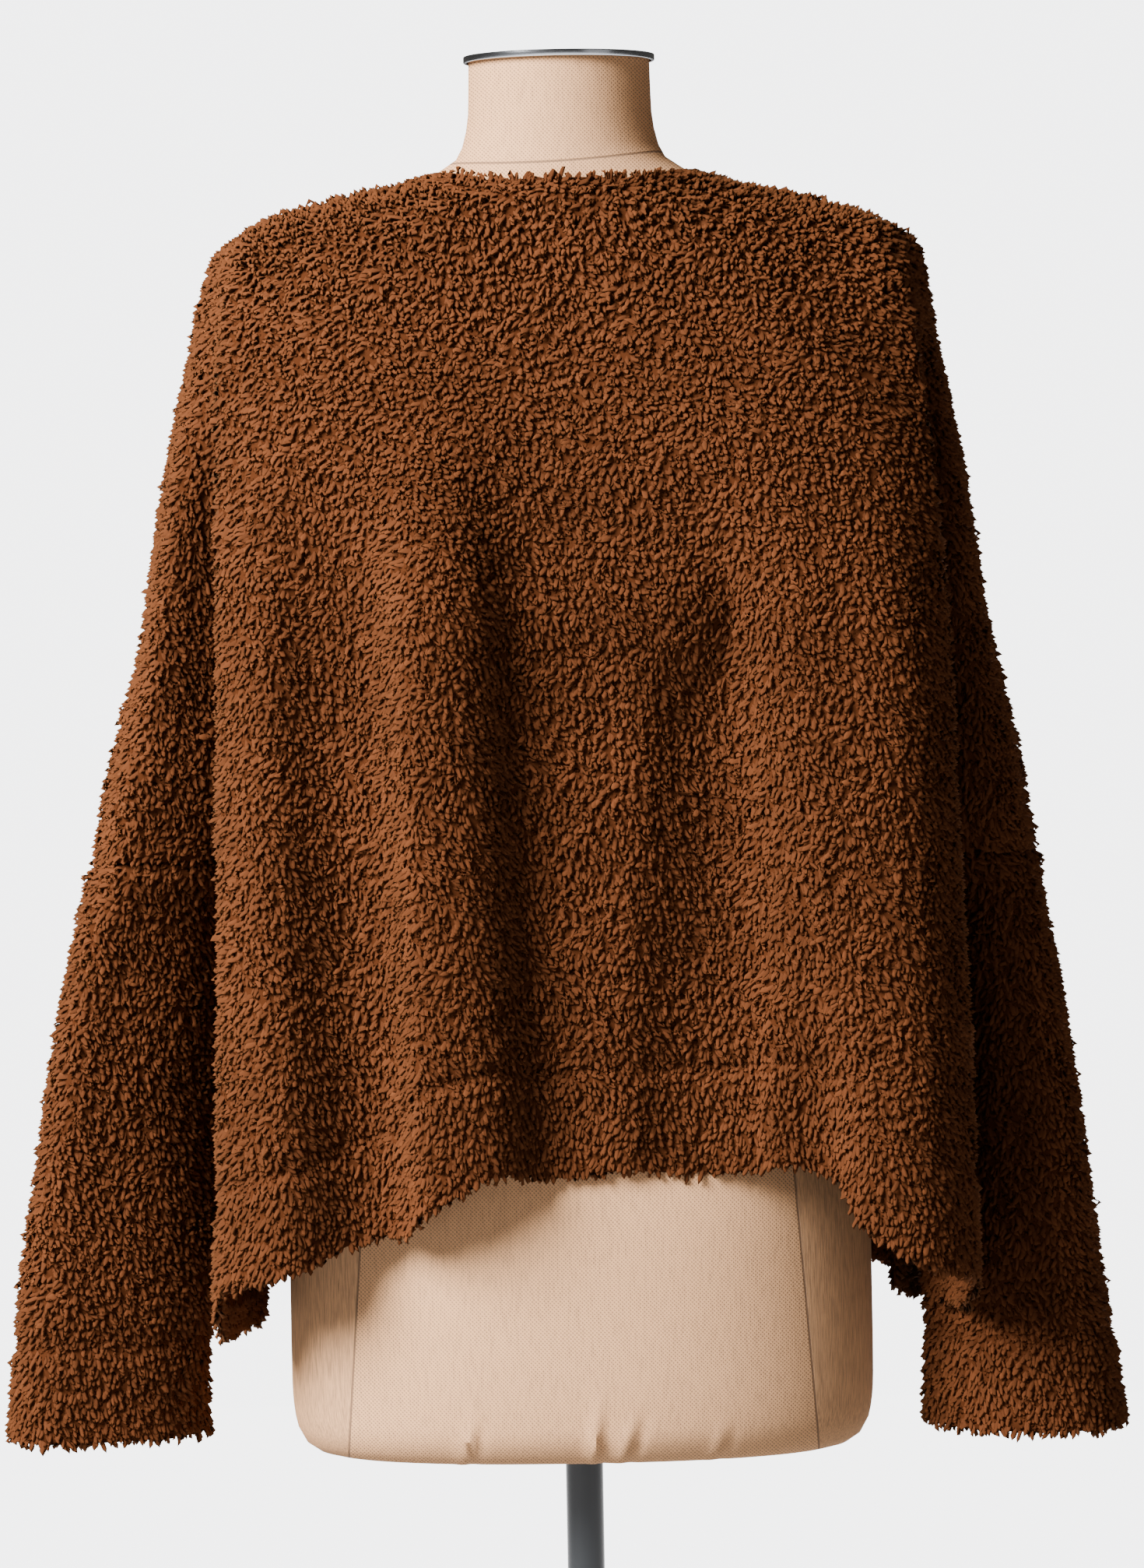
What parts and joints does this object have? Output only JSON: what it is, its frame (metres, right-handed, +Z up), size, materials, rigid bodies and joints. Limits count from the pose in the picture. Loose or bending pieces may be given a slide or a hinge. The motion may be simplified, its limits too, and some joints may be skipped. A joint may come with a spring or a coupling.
{
  "type": "fleece top on dress form",
  "caption": "Wide boat-neck curly fleece pullover with dropped shoulders and long flared sleeves, hanging on a limbless linen dress form with a pole and a round base.",
  "frame": {"origin": "middle of the base's underside, on the floor", "axes": "+Z up along the pole, -Y out of the garment's front, +X to the right seen from the front"},
  "size_m": [0.698, 0.34, 1.527],
  "materials": {
    "fleece": "curly brown pile on a knitted backing",
    "linen": "plain linen twill",
    "chrome": "polished",
    "dark_enamel": "dark gloss"
  },
  "bodies": {
    "root": {"front": "fleece", "back": "fleece", "sleeve_left": "fleece", "sleeve_right": "fleece", "torso": "linen", "neck_cap": "chrome", "pole": "dark_enamel", "base": "dark_enamel"}
  },
  "joints": []
}
